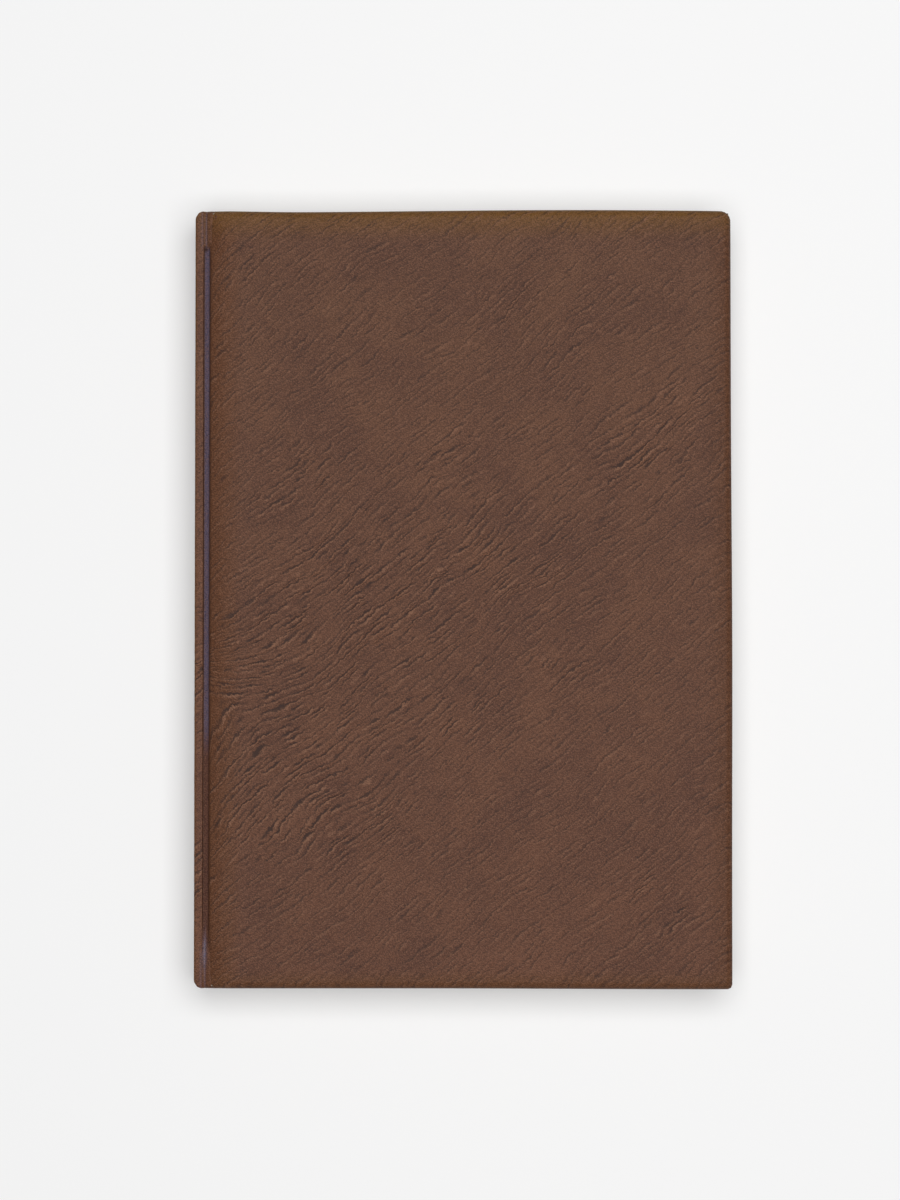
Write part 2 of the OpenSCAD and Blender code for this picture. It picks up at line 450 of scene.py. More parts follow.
def build_paper_tooth():
    """Fine tooth and loose fibres of uncoated paper."""
    nodes, given, result = make_group(
        "paper tooth",
        [("Place", "vector", None)],
        [("Height", "value"), ("Fibres", "value")],
    )
    fine = nodes.noise(given["Place"], 5.5, 4.0, 0.7)
    stretched = nodes.mapped(given["Place"], turn=(0, 0, 0.4), size=(0.8, 4.5, 2.0))
    strands = nodes.noise(stretched, 1.0, 3.0, 0.6)
    nodes.link(nodes.math("ADD", fine, nodes.math("MULTIPLY", strands, 0.5)), result["Height"])
    nodes.link(nodes.range(strands, 0.35, 0.7), result["Fibres"])


def build_plain_weave():
    """Over-and-under weave of threads along two directions of the surface."""
    nodes, given, result = make_group(
        "plain weave",
        [("Place", "vector", None), ("Threads per mm", "value", 1.0)],
        [("Height", "value"), ("Threads", "value")],
    )
    place = nodes.scaled(given["Place"], nodes.math("MULTIPLY", given["Threads per mm"], math.pi))
    part = nodes.split(place)
    run_y = nodes.math("SINE", part["Y"])
    run_z = nodes.math("SINE", nodes.math("ADD", part["Z"], part["X"]))
    height = nodes.math("ABSOLUTE", nodes.math("MULTIPLY", run_y, run_z))
    nodes.link(height, result["Height"])
    nodes.link(nodes.range(height, 0.1, 0.7), result["Threads"])


def start_material(name, roughness=0.6, specular=0.5):
    """A material with a Principled shader, and the place in millimetres to texture it by."""
    material = bpy.data.materials.new(name)
    material.use_nodes = True
    nodes = Nodes(material.node_tree)
    shader = material.node_tree.nodes["Principled BSDF"]
    shader.inputs["Roughness"].default_value = roughness
    shader.inputs["Specular IOR Level"].default_value = specular
    place = nodes.scaled(nodes.add("ShaderNodeTexCoord").outputs["Object"], 1.0 / MM)
    return material, nodes, shader, place


def finished(material, nodes, shader, colour, height, strength):
    """The material with its colour and its height in millimetres linked to the shader."""
    nodes.link(colour, shader.inputs["Base Color"])
    nodes.link(nodes.bump(height, strength), shader.inputs["Normal"])
    return material


# Colours of the leathercloth, with colours for painted shade, painted highlight and painted sheen among them
BASE_AT_TAIL = (0.0785, 0.0287, 0.0159)
BASE_AT_HEAD = (0.0745, 0.0292, 0.0159)
LIGHT_AT_TAIL = (0.1175, 0.0454, 0.0238)
LIGHT_AT_HEAD = (0.1127, 0.0486, 0.0244)
RUBBED_BROWN = (0.094, 0.0315, 0.0090)
OLIVE_BROWN = (0.151, 0.068, 0.0095)
PRESSED_SHEEN = (0.110, 0.093, 0.146)
SPECK_BROWN = (0.040, 0.017, 0.010)
LIFTED_BROWN = (0.205, 0.098, 0.057)
SUNK_BROWN = (0.022, 0.009, 0.006)


def leathercloth(name, move, tone=1.0):
    """Brown leathercloth; move shifts the pattern, so that no two pieces repeat, and the last number lightens
    the colour as painted light, for a part that lies lower in shade.
    """
    def dyed(colour):
        return tuple(part * tone for part in colour)

    material, nodes, shader, place = start_material(name, 0.6, 0.16)
    part = nodes.split(place)
    shifted = nodes.vector("ADD", place, move)
    rubbed = nodes.attribute("rubbed")
    pressed = nodes.attribute("pressed")
    bend = nodes.add("ShaderNodeCombineXYZ")
    nodes.link(nodes.math("SUBTRACT", part["Z"], BOOK_THICK), bend.inputs["X"])
    nodes.link(nodes.attribute("bend"), bend.inputs["Y"])
    bent = nodes.vector("ADD", shifted, bend.outputs[0])
    grain = nodes.group("pebble grain", Place=shifted)
    creases = nodes.group("drawn creases", Place=bent, Amount=nodes.attribute("creased"))
    mottle = nodes.group("cloudy mottle", Place=shifted)
    toward_head = nodes.range(part["Y"], -HALF_HEIGHT, HALF_HEIGHT, smooth_step=False)
    base = nodes.mix(toward_head, dyed(BASE_AT_TAIL), dyed(BASE_AT_HEAD))
    light = nodes.mix(toward_head, dyed(LIGHT_AT_TAIL), dyed(LIGHT_AT_HEAD))
    colour = nodes.mix(mottle["Clouds"], base, light)
    # painted shade: darker brown where the padded face slopes away at the rim and by the groove, and on the
    # spine's rounded edge
    colour = nodes.mix(nodes.math("MULTIPLY", rubbed, 0.8), colour, dyed(RUBBED_BROWN))
    # painted light: lighter olive brown on the head edge's slope, as if lit from the head side
    colour = nodes.mix(nodes.attribute("olive"), colour, OLIVE_BROWN)
    # painted sheen: a purple-grey reflection on the groove's floor, with painted glints; the same mask lowers
    # the roughness
    colour = nodes.mix(pressed, colour, PRESSED_SHEEN)
    specks = nodes.range(mottle["Specks"], 0.3, 0.75, 0.0, 0.2)
    colour = nodes.mix(specks, colour, SPECK_BROWN)
    # painted highlight on one side of each crease and grain
    lift = nodes.weighted(creases["Lips"], 0.88, grain["Tops"], 0.46)
    colour = nodes.mix(lift, colour, LIFTED_BROWN)
    # painted shade in the crease valleys and the grain's pits
    sink = nodes.weighted(creases["Valleys"], 1.10, grain["Pits"], 0.50)
    colour = nodes.mix(nodes.math("MINIMUM", sink, 0.92), colour, SUNK_BROWN)
    # painted shade at the foot of the groove's shoulder, in its notch and towards the fore edge
    colour = nodes.mix(nodes.attribute("tucked"), colour, SUNK_BROWN)
    rough = nodes.math("ADD", nodes.math("MULTIPLY", mottle["Specks"], 0.16), 0.50)
    rough = nodes.math("SUBTRACT", rough, nodes.math("MULTIPLY", pressed, 0.2))
    nodes.link(rough, shader.inputs["Roughness"])
    fine_height = nodes.weighted(creases["Height"], 0.06, grain["Height"], 0.06)
    height = nodes.math("ADD", fine_height, nodes.math("MULTIPLY", mottle["Clouds"], 0.12))
    return finished(material, nodes, shader, colour, height, 1.0)


def paper(name, colour, shade):
    """Uncoated paper in one tint, a little uneven."""
    material, nodes, shader, place = start_material(name, 0.85, 0.25)
    tooth = nodes.group("paper tooth", Place=place)
    patches = nodes.range(nodes.noise(place, 0.045, 3.0), 0.25, 0.75)
    mixed = nodes.mix(patches, shade, colour)
    mixed = nodes.mix(nodes.math("MULTIPLY", tooth["Fibres"], 0.3), mixed, shade)
    height = nodes.math("MULTIPLY", tooth["Height"], 0.02)
    return finished(material, nodes, shader, mixed, height, 0.7)


def leaf_edges(name):
    """Cut edges of the leaves: fine lines along the block, cream, with painted shade in the narrow spaces
    between the leaves.
    """
    material, nodes, shader, place = start_material(name, 0.9, 0.2)
    tooth = nodes.group("paper tooth", Place=place)
    lines = nodes.noise(nodes.mapped(place, size=(0.02, 0.02, 9.0)), 1.0, 3.0, 0.7)
    gaps = nodes.range(lines, 0.36, 0.58, 1.0, 0.0)
    patches = nodes.noise(nodes.mapped(place, size=(0.05, 0.05, 0.7)), 1.0, 2.0)
    colour = nodes.mix(nodes.range(patches, 0.3, 0.7), (0.83, 0.72, 0.56), (0.90, 0.81, 0.66))
    colour = nodes.mix(nodes.math("MULTIPLY", gaps, 0.38), colour, (0.56, 0.43, 0.29))
    height = nodes.weighted(lines, 0.10, tooth["Height"], 0.01)
    return finished(material, nodes, shader, colour, height, 0.9)


def pressed_board(name):
    """Grey bookbinding board with pressed fibres."""
    material, nodes, shader, place = start_material(name, 0.9, 0.2)
    tooth = nodes.group("paper tooth", Place=place)
    flecks = nodes.range(nodes.noise(place, 1.4, 4.0, 0.75), 0.42, 0.62)
    colour = nodes.mix(flecks, (0.22, 0.195, 0.16), (0.31, 0.28, 0.235))
    height = nodes.math("MULTIPLY", tooth["Height"], 0.05)
    return finished(material, nodes, shader, colour, height, 0.9)


def open_foam(name):
    """Soft open foam: rounded pores of many sizes, painted darker towards their hollows as shade."""
    material, nodes, shader, place = start_material(name, 0.95, 0.15)
    pores = nodes.cells(place, 1.3)
    deep = nodes.range(pores, 0.1, 0.7)
    colour = nodes.mix(deep, (0.36, 0.34, 0.30), (0.53, 0.51, 0.46))
    return finished(material, nodes, shader, colour, nodes.math("MULTIPLY", deep, 0.2), 0.9)


def cotton(name, threads, dark, light):
    """Woven cotton at so many threads to a millimetre, with painted shade between the raised threads."""
    material, nodes, shader, place = start_material(name, 0.9, 0.2)
    weave = nodes.group("plain weave", Place=place, Threads_per_mm=threads)
    colour = nodes.mix(weave["Threads"], dark, light)
    fuzz = nodes.noise(place, 3.0, 3.0, 0.7)
    colour = nodes.mix(nodes.range(fuzz, 0.3, 0.8, 0.0, 0.3), colour, dark)
    height = nodes.math("MULTIPLY", weave["Height"], 0.1)
    return finished(material, nodes, shader, colour, height, 0.9)


def wound_threads(name, pitch):
    """Head band: silk wound in turns of two colours along the thickness of the block."""
    material, nodes, shader, place = start_material(name, 0.55, 0.4)
    turn = nodes.math("SINE", nodes.math("MULTIPLY", nodes.split(place)["Z"], math.pi / pitch))
    fibres = nodes.noise(nodes.mapped(place, size=(2.0, 2.0, 14.0)), 1.0, 2.0)
    colour = nodes.mix(nodes.range(turn, -0.12, 0.12), (0.17, 0.085, 0.045), (0.62, 0.52, 0.38))
    colour = nodes.mix(nodes.range(fibres, 0.35, 0.7, 0.0, 0.35), colour, (0.10, 0.05, 0.03))
    return finished(material, nodes, shader, colour, nodes.math("MULTIPLY", fibres, 0.05), 0.8)


# Camera, light and floor

FRAME_TALL = 0.3235
CAMERA_REACH = 1.0
CAMERA_TILT = math.radians(2.0)
SENSOR = 36.0
AIM = Vector((-0.0035, -0.0005, 0.0190))


def place_camera():
    """Straight above the cover, leaning a little so that the tail is nearer, as in the photograph."""
    lens = bpy.data.cameras.new("camera")
    lens.sensor_width = SENSOR
    lens.lens = SENSOR * CAMERA_REACH / FRAME_TALL
    lens.clip_start = 0.01
    lens.clip_end = 20.0
    camera = bpy.data.objects.new("camera", lens)
    camera.location = AIM + Vector((0, -math.sin(CAMERA_TILT), math.cos(CAMERA_TILT))) * CAMERA_REACH
    camera.rotation_euler = (CAMERA_TILT, 0, 0)
    scene.collection.objects.link(camera)
    scene.camera = camera


SOFTBOX_HEIGHT = 1.6
SOFTBOX_POWER = 27.6
HEAD_LAMP_POWER = 2.0
HEAD_LAMP_SIZE = 0.6
HEAD_LAMP_PLACE = (0.10, 0.50, 1.45)
WORLD_LEVEL = 0.08
BACKGROUND = 0.913
FLOOR_HALF = 3.0
FLOOR_DEPTH = 0.00005
FLOOR_GLOW = 0.250
FLOOR_COLOUR = 0.663
FLOOR_FADE_START = 0.35
FLOOR_FADE_END = 1.0


def seen_directly(nodes):
    """1 for what the camera, a mirror image or a look through glass shows, 0 for light on surfaces."""
    path = nodes.add("ShaderNodeLightPath")
    seen = nodes.math("ADD", path.outputs["Is Camera Ray"], path.outputs["Is Glossy Ray"])
    return nodes.math("ADD", seen, path.outputs["Is Transmission Ray"], clamp=True)


def place_lights():
    """One large softbox above, a little to the right, a weaker lamp beyond the head, and a faint even sky."""
    lamp = bpy.data.lights.new("softbox", "AREA")
    lamp.shape = "RECTANGLE"
    lamp.size = SOFTBOX_HEIGHT * 0.855
    lamp.size_y = SOFTBOX_HEIGHT * 0.904
    lamp.energy = SOFTBOX_POWER
    softbox = bpy.data.objects.new("softbox", lamp)
    softbox.location = (SOFTBOX_HEIGHT * 0.103, SOFTBOX_HEIGHT * 0.030, SOFTBOX_HEIGHT)
    softbox.visible_camera = False
    scene.collection.objects.link(softbox)
    side = bpy.data.lights.new("head side lamp", "AREA")
    side.size = HEAD_LAMP_SIZE
    side.energy = HEAD_LAMP_POWER
    side_lamp = bpy.data.objects.new("head side lamp", side)
    side_lamp.location = HEAD_LAMP_PLACE
    side_lamp.rotation_euler = Vector(side_lamp.location).to_track_quat("Z", "Y").to_euler()
    side_lamp.visible_camera = False
    scene.collection.objects.link(side_lamp)
    world = bpy.data.worlds.new("studio")
    world.use_nodes = True
    scene.world = world
    nodes = Nodes(world.node_tree)
    sky = world.node_tree.nodes["Background"]
    sky.inputs["Color"].default_value = (1, 1, 1, 1)
    level = nodes.add("ShaderNodeMapRange")
    nodes.link(seen_directly(nodes), level.inputs["Value"])
    level.inputs["To Min"].default_value = WORLD_LEVEL
    level.inputs["To Max"].default_value = BACKGROUND
    nodes.link(level.outputs["Result"], sky.inputs["Strength"])


def lay_floor():
    """A pale table top that keeps the journal's shadow and passes into the even background farther out."""
    mesh = bpy.data.meshes.new("floor")
    signs = [(-1, -1), (1, -1), (1, 1), (-1, 1)]
    corners = [(x * FLOOR_HALF, y * FLOOR_HALF, -FLOOR_DEPTH) for x, y in signs]
    mesh.from_pydata(corners, [], [(0, 1, 2, 3)])
    floor = bpy.data.objects.new("floor", mesh)
    scene.collection.objects.link(floor)
    material = bpy.data.materials.new("pale floor")
    material.use_nodes = True
    nodes = Nodes(material.node_tree)
    shader = material.node_tree.nodes["Principled BSDF"]
    shader.inputs["Roughness"].default_value = 1.0
    shader.inputs["Specular IOR Level"].default_value = 0.0
    shader.inputs["Emission Color"].default_value = (1, 1, 1, 1)
    reach = nodes.add("ShaderNodeVectorMath", operation="LENGTH")
    nodes.link(nodes.add("ShaderNodeTexCoord").outputs["Object"], reach.inputs[0])
    far = nodes.range(reach.outputs["Value"], FLOOR_FADE_START, FLOOR_FADE_END)
    nodes.link(nodes.mix(far, (FLOOR_COLOUR,) * 3, (0.0, 0.0, 0.0)), shader.inputs["Base Color"])
    glow = nodes.add("ShaderNodeMapRange")
    nodes.link(far, glow.inputs["Value"])
    glow.inputs["To Min"].default_value = FLOOR_GLOW
    glow.inputs["To Max"].default_value = BACKGROUND
    strength = nodes.math("MULTIPLY", seen_directly(nodes), glow.outputs["Result"])
    nodes.link(strength, shader.inputs["Emission Strength"])
    mesh.materials.append(material)


# Cover leathercloth

def edge_waver(points, front):
    """The outline of a hand-wrapped cover: its edges wander by a few tenths of a millimetre."""
    u, y = points[..., 0], points[..., 1]
    toward_head = (y + HALF_HEIGHT) / (2 * HALF_HEIGHT)
    toward_fore = (u - COVER_NEAR) / (FAR_EDGE - COVER_NEAR)
    if front:
        head = 0.30 * np.sin((u - 60) / 141 * 5.2) * smooth(4, 30, u)
        tail = -0.25 * smooth(60, 140, u)
        fore = 0.22 * np.exp(-(((y + 14) / 42) ** 2))
    else:
        head = 0.15 * np.sin((u - 20) / 141 * 4.0)
        tail = -0.15 * np.sin((u + 10) / 141 * 5.0)
        fore = 0.15 * np.exp(-(((y - 20) / 40) ** 2))
    points[..., 1] += head * toward_head + tail * (1 - toward_head)
    points[..., 0] += fore * toward_fore
    return points


def face_height(u, y):
    """Height of the padded face: flat in the middle, falling to the rim and sloping to the groove."""
    def fall(inset, width, drop):
        share = np.clip(1 - inset / width, 0, 1)
        return drop * share * share
    height = BOOK_THICK - fall(FAR_EDGE - u, SWELL_WIDTH, SWELL_DROP)
    height = height - fall(HALF_HEIGHT - np.abs(y), SWELL_WIDTH, SWELL_DROP)
    height = height - fall(u - COVER_NEAR, 8.0, END_DROP) * smooth(CAP_START - 4, CAP_START + 2, np.abs(y))
    return height - fall(u - COVER_NEAR, SLOPE_WIDTH, SLOPE_DROP)


def crease_mask(u, y, patches):
    """How creased the leathercloth is, from 0 to 1."""
    mask = np.zeros(np.shape(u))
    cos, sin = math.cos(CREASE_ANGLE), math.sin(CREASE_ANGLE)
    for centre_u, centre_y, long, wide, strength in patches:
        along = (u - centre_u) * cos + (y - centre_y) * sin
        across = -(u - centre_u) * sin + (y - centre_y) * cos
        mask = mask + strength * np.exp(-((along / long) ** 2) - (across / wide) ** 2)
    return np.clip(mask, 0, 1)


def relief(u, y, mask, seed):
    """Low hills and folds of the leathercloth over its foam, in millimetres."""
    cos, sin = math.cos(CREASE_ANGLE), math.sin(CREASE_ANGLE)
    height = np.zeros(len(u))
    for i, (a, b, m) in enumerate(zip(u, y, mask)):
        hill = noise.noise(Vector((a / 19, b / 19, seed)))
        bend = 2.2 * noise.noise(Vector((a / 9, b / 9, seed + 5)))
        along = a * cos + b * sin
        across = -a * sin + b * cos + bend
        fold = 1 - 2 * abs(noise.noise(Vector((along / 9, across / 2.6, seed + 9))))
        height[i] = 0.05 * hill + 0.035 * m * (fold - 0.6)
    return height


def outline_point(t, length, begin, end):
    """How far along and out a point of the rounded outline lies; t passes a side's ends at the corners."""
    straight = t
    out = 0.0
    if t < -(CORNER_ZONE - begin):
        angle = (-(CORNER_ZONE - begin) - t) / begin
        straight = -(CORNER_ZONE - begin) - begin * math.sin(angle)
        out = -begin * (1 - math.cos(angle))
    if t > length + CORNER_ZONE - end:
        angle = (t - length - CORNER_ZONE + end) / end
        straight = length + CORNER_ZONE - end + end * math.sin(angle)
        out = -end * (1 - math.cos(angle))
    return straight, out


def cover_outline(cols, rows, corner_rounds):
    """Plan points of the face grid's border and of the cover's outline beside them."""
    near_tail, fore_tail, fore_head, near_head = corner_rounds
    width = FAR_EDGE - COVER_NEAR
    sides = [
        ((COVER_NEAR, -HALF_HEIGHT), (1, 0), (0, -1), cols, width, near_tail, fore_tail),
        ((FAR_EDGE, -HALF_HEIGHT), (0, 1), (1, 0), rows, 2 * HALF_HEIGHT, fore_tail, fore_head),
        ((FAR_EDGE, HALF_HEIGHT), (-1, 0), (0, 1), cols, width, fore_head, near_head),
        ((COVER_NEAR, HALF_HEIGHT), (0, -1), (-1, 0), rows, 2 * HALF_HEIGHT, near_head, near_tail),
    ]
    border, outline = [], []
    for corner, along, outward, count, full_length, begin, end in sides:
        along, outward = np.array(along), np.array(outward)
        length = full_length - 2 * CORNER_ZONE
        extra = [CORNER_ZONE - r + r * math.pi / 4 for r in (begin, end)]
        start = np.array(corner, float) + CORNER_ZONE * along
        for i in range(count - 1):
            s = length * i / (count - 1)
            pull = max(0, 1 - s / CORNER_SPREAD) ** 2 * extra[0]
            push = max(0, 1 - (length - s) / CORNER_SPREAD) ** 2 * extra[1]
            straight, out = outline_point(s - pull + push, length, begin, end)
            border.append(start + s * along - CORNER_ZONE * outward)
            outline.append(start + straight * along + out * outward)
    return np.array(border), np.array(outline)


def cover_leather(name, front, corner_rounds, patches, seed, material):
    """One cover's leathercloth as a closed shell: face, rim, fold, turn-ins and its hidden inner side."""
    us = spaced([COVER_NEAR + CORNER_ZONE, FAR_EDGE - CORNER_ZONE], FACE_STEP)
    ys = spaced([-HALF_HEIGHT + CORNER_ZONE, HALF_HEIGHT - CORNER_ZONE], FACE_STEP)
    cols, rows = len(us), len(ys)
    grid_u, grid_y = np.meshgrid(us, ys)
    face = np.stack([grid_u, grid_y, face_height(grid_u, grid_y)], -1).reshape(-1, 3)
    border, outline = cover_outline(cols, rows, corner_rounds)
    ring = len(border)
    near_side = smooth(2.5, -0.5, border[:, 0] - us[0])
    near_side = near_side * smooth(HALF_HEIGHT + 0.5, HALF_HEIGHT - CORNER_ZONE - 2.5, np.abs(border[:, 1]))
    share_u = (border[:, 0] - us[0]) / (us[-1] - us[0])
    share_y = (border[:, 1] - ys[0]) / (ys[-1] - ys[0])
    round_r = RIM_ROUND + (GROOVE_EDGE_ROUND - RIM_ROUND) * near_side
    fold_r = FOLD_ROUND + (GROOVE_FOLD_ROUND - FOLD_ROUND) * near_side
    rings = []

    def at_inset(inset):
        share = (inset / CORNER_ZONE)[:, None]
        return outline * (1 - share) + border * share

    def add_ring(plan, height):
        rings.append(np.column_stack([plan, height * np.ones(ring)]))

    for share in (0.66, 0.33, 0.0):
        plan = at_inset(round_r + (CORNER_ZONE - round_r) * share)
        add_ring(plan, face_height(plan[:, 0], plan[:, 1]))
    rim_degrees = (11, 22, 33, 44, 55, 66, 78, 90)
    for degrees in rim_degrees:
        angle = math.radians(degrees)
        plan = at_inset(round_r * (1 - math.sin(angle)))
        wall_top = face_height(plan[:, 0], plan[:, 1]) - round_r * (1 - math.cos(angle))
        add_ring(plan, wall_top)
    for share in (0.5, 1.0):
        add_ring(outline, wall_top + (COVER_INNER + fold_r - wall_top) * share)
    for degrees in (22, 45, 68, 90):
        angle = math.radians(degrees)
        add_ring(at_inset(fold_r * (1 - math.cos(angle))), COVER_INNER + fold_r * (1 - math.sin(angle)))
    rim_rings = len(rings)

    def flat_inset(inset, near_inset):
        low_u, high_u = COVER_NEAR + near_inset, FAR_EDGE - inset
        reach = HALF_HEIGHT - inset
        return np.column_stack([low_u + share_u * (high_u - low_u), -reach + share_y * 2 * reach])

    for inset, near_inset in ((1.7, 0.42), (3.4, 0.46), (5.6, 0.5), (8.6, 0.54), (11.8, 0.58)):
        add_ring(flat_inset(inset, near_inset), COVER_INNER)
    add_ring(flat_inset(TURN_IN, LEATHER_THICK), COVER_INNER + 0.2)
    add_ring(flat_inset(TURN_IN, LEATHER_THICK), TURN_IN_TOP)
    hidden_side = ((0.75, TURN_IN_TOP), (0.6, 16.3), (0.6, 17.2), (1.4, 18.5), (3.2, 18.9), (9.0, 19.17))
    for inset, height in hidden_side:
        add_ring(flat_inset(inset, inset), height)

    points = np.concatenate([face] + rings)
    on_top = np.ones(len(points), bool)
    on_top[len(face) + RELIEF_RINGS * ring:] = False
    mask = crease_mask(points[:, 0], points[:, 1], patches)
    lift = np.zeros(len(points))
    lift[on_top] = relief(points[on_top, 0], points[on_top, 1], mask[on_top], seed)
    points[:, 2] += lift
    edge_waver(points, front)

    first_row = list(range(cols - 1))
    right = [r * cols + cols - 1 for r in range(rows - 1)]
    last_row = [(rows - 1) * cols + c for c in range(cols - 1, 0, -1)]
    left = [r * cols for r in range(rows - 1, 0, -1)]
    inner_loop = first_row + right + last_row + left
    faces = quads(rows, cols)
    outer_loop = list(range(len(face), len(face) + ring))
    for k in range(ring):
        following = (k + 1) % ring
        faces.append([inner_loop[k], inner_loop[following], outer_loop[following], outer_loop[k]])
    faces += quads(len(rings), ring, first=len(face), ring=True)
    faces.append(list(range(len(points) - ring, len(points))))
    if not front:
        points = turned_over(points)
    piece = make_piece(name, points, faces, material)
    from_head = HALF_HEIGHT - points[:, 1]
    from_tail = HALF_HEIGHT + points[:, 1]
    # painted light: the head edge lighter and olive, as if lit from the head side, fainter at the tail
    olive = 0.75 * smooth(9.5, 0.5, from_head) + 0.25 * smooth(3.0, 0.3, from_head)
    olive += 0.18 * smooth(6.0, 0.0, from_tail)
    # painted shade on the fore edge, the tail band and the slope by the groove, where the face falls away
    rubbed = np.maximum(smooth(8.0, 0.5, FAR_EDGE - points[:, 0]), 0.6 * smooth(6.0, 0.0, from_tail))
    rubbed = np.maximum(rubbed, smooth(13.5, 9.0, points[:, 0]))
    hidden = np.arange(len(points)) >= len(face) + rim_rings * ring
    near_groove = np.exp(-(points[:, 0] - 4) / 9)
    write_masks(
        piece,
        creased=np.where(hidden, 0.15, 0.42 + 0.58 * mask),
        olive=np.where(hidden, 0.0, np.clip(olive, 0, 1)),
        rubbed=np.where(hidden, 0.2, rubbed),
        pressed=np.zeros(len(points)),
        # painted shade towards the fore edge
        tucked=0.11 * smooth(9.0, 2.0, FAR_EDGE - points[:, 0]),
        bend=-15 * near_groove * np.exp(-(((points[:, 1] + 24) / 13) ** 2)),
    )
    return piece


def foam_pad(name, front, material):
    """The soft pad between board and leathercloth, crowned, with its edges pulled down by the cloth."""
    margin, rest = 0.7, 18.0
    us = spaced([COVER_NEAR + margin, COVER_NEAR + 3, 12, 132, FAR_EDGE - 3, FAR_EDGE - margin], 2.0)
    end = HALF_HEIGHT - margin
    ys = spaced([-end, -HALF_HEIGHT + 3, -95, 95, HALF_HEIGHT - 3, end], 2.0)
    grid_u, grid_y = np.meshgrid(us, ys)
    radius = np.where(grid_u < HALF_WIDTH, PAD_NEAR_CORNER, PAD_FORE_CORNER)
    side_part = np.maximum(0, radius - np.minimum(grid_u - us[0], us[-1] - grid_u))
    end_part = np.maximum(0, radius - (ys[-1] - np.abs(grid_y)))
    pull = 1 - radius / np.maximum(np.hypot(side_part, end_part), radius)
    grid_u = grid_u + side_part * pull * np.where(grid_u < HALF_WIDTH, 1, -1)
    grid_y = grid_y - end_part * pull * np.sign(grid_y)
    top = face_height(grid_u, grid_y) - LEATHER_THICK - 0.08
    rim_inset = np.minimum(FAR_EDGE - margin - grid_u, end - np.abs(grid_y))
    near_inset = grid_u - COVER_NEAR - margin
    for inset, size in ((rim_inset, 1.3), (near_inset, 0.5)):
        share = np.clip(1 - inset / size, 0, 1)
        top = top - size * (1 - np.sqrt(1 - share * share)) * 0.8
    top = np.maximum(top, rest + 0.02)
    outer = np.stack([grid_u, grid_y, top], -1)
    inner = np.stack([grid_u, grid_y, np.full_like(grid_u, rest)], -1)
    return sheet_piece(name, outer, inner, front, material)


# Spine leathercloth

GROOVE_FLOOR = 15.78
GROOVE_FILLING = 1.36
SHOULDER_TOP = 17.54
SHOULDER_ROUND = 0.3
SHOULDER_FLAT_END = 2.0
SPINE_ROUND = 0.6
END_ROUND = 0.9
END_CORNER = 2.3


def rows_along(ends):
    """Evenly stepped y values of the sections, with stops on both sides of the groove's filled ends."""
    before, after = CAP_START - CAP_MARGIN, CAP_START + CAP_MARGIN
    return spaced([-ends, -after, -before, before, after, ends], ROW_STEP)


def spine_section(y):
    """The closed section of the spine's leathercloth at one height of the book."""
    filled = float(smooth(CAP_START - 0.6, CAP_START + 0.9, abs(y)))
    floor = GROOVE_FLOOR + filled * GROOVE_FILLING
    tip = 3.95 - filled * 0.75
    flat_end, turn = SHOULDER_FLAT_END, SHOULDER_ROUND
    wall_u, wall_top = flat_end + turn, SHOULDER_TOP - turn
    side_top = SHOULDER_TOP - SPINE_ROUND
    quarter = math.pi / 2
    half = []
    half += [(tip + (2.5 - tip) * s, floor) for s in steps(0, 1, 6)]
    half += [(2.38, floor + 0.03), (2.31, floor + 0.12)]
    half += [(wall_u, floor + 0.16 + (wall_top - floor - 0.16) * s) for s in steps(0, 1, 5)[1:]]
    for a in steps(0, quarter, 6)[1:]:
        half.append((flat_end + turn * math.cos(a), wall_top + turn * math.sin(a)))
    half += [(flat_end + (SPINE_ROUND - flat_end) * s, SHOULDER_TOP) for s in steps(0, 1, 6)[1:]]
    for a in steps(0, quarter, 8)[1:]:
        half.append((SPINE_ROUND - SPINE_ROUND * math.sin(a), side_top + SPINE_ROUND * math.cos(a)))
    half += [(0.0, side_top - (side_top - MID_HEIGHT) * s) for s in steps(0, 1, 20)[1:]]
    half = np.array(half)
    other = half[::-1][1:].copy()
    other[:, 1] = BOOK_THICK - other[:, 1]
    low = BOOK_THICK - COVER_INNER - 0.02
    high = COVER_INNER + 0.02
    inner = [(3.95 - 0.1 * filled, low), (3.1, low), (2.4, low), (2.3, low + 0.1)]
    inner += [(2.3, low + 0.1 + (high - low - 0.2) * s) for s in steps(0, 1, 14)[1:]]
    inner += [(2.4, high), (3.1, high), (3.95 - 0.1 * filled, high)]
    return np.concatenate([half, other, np.array(inner)])


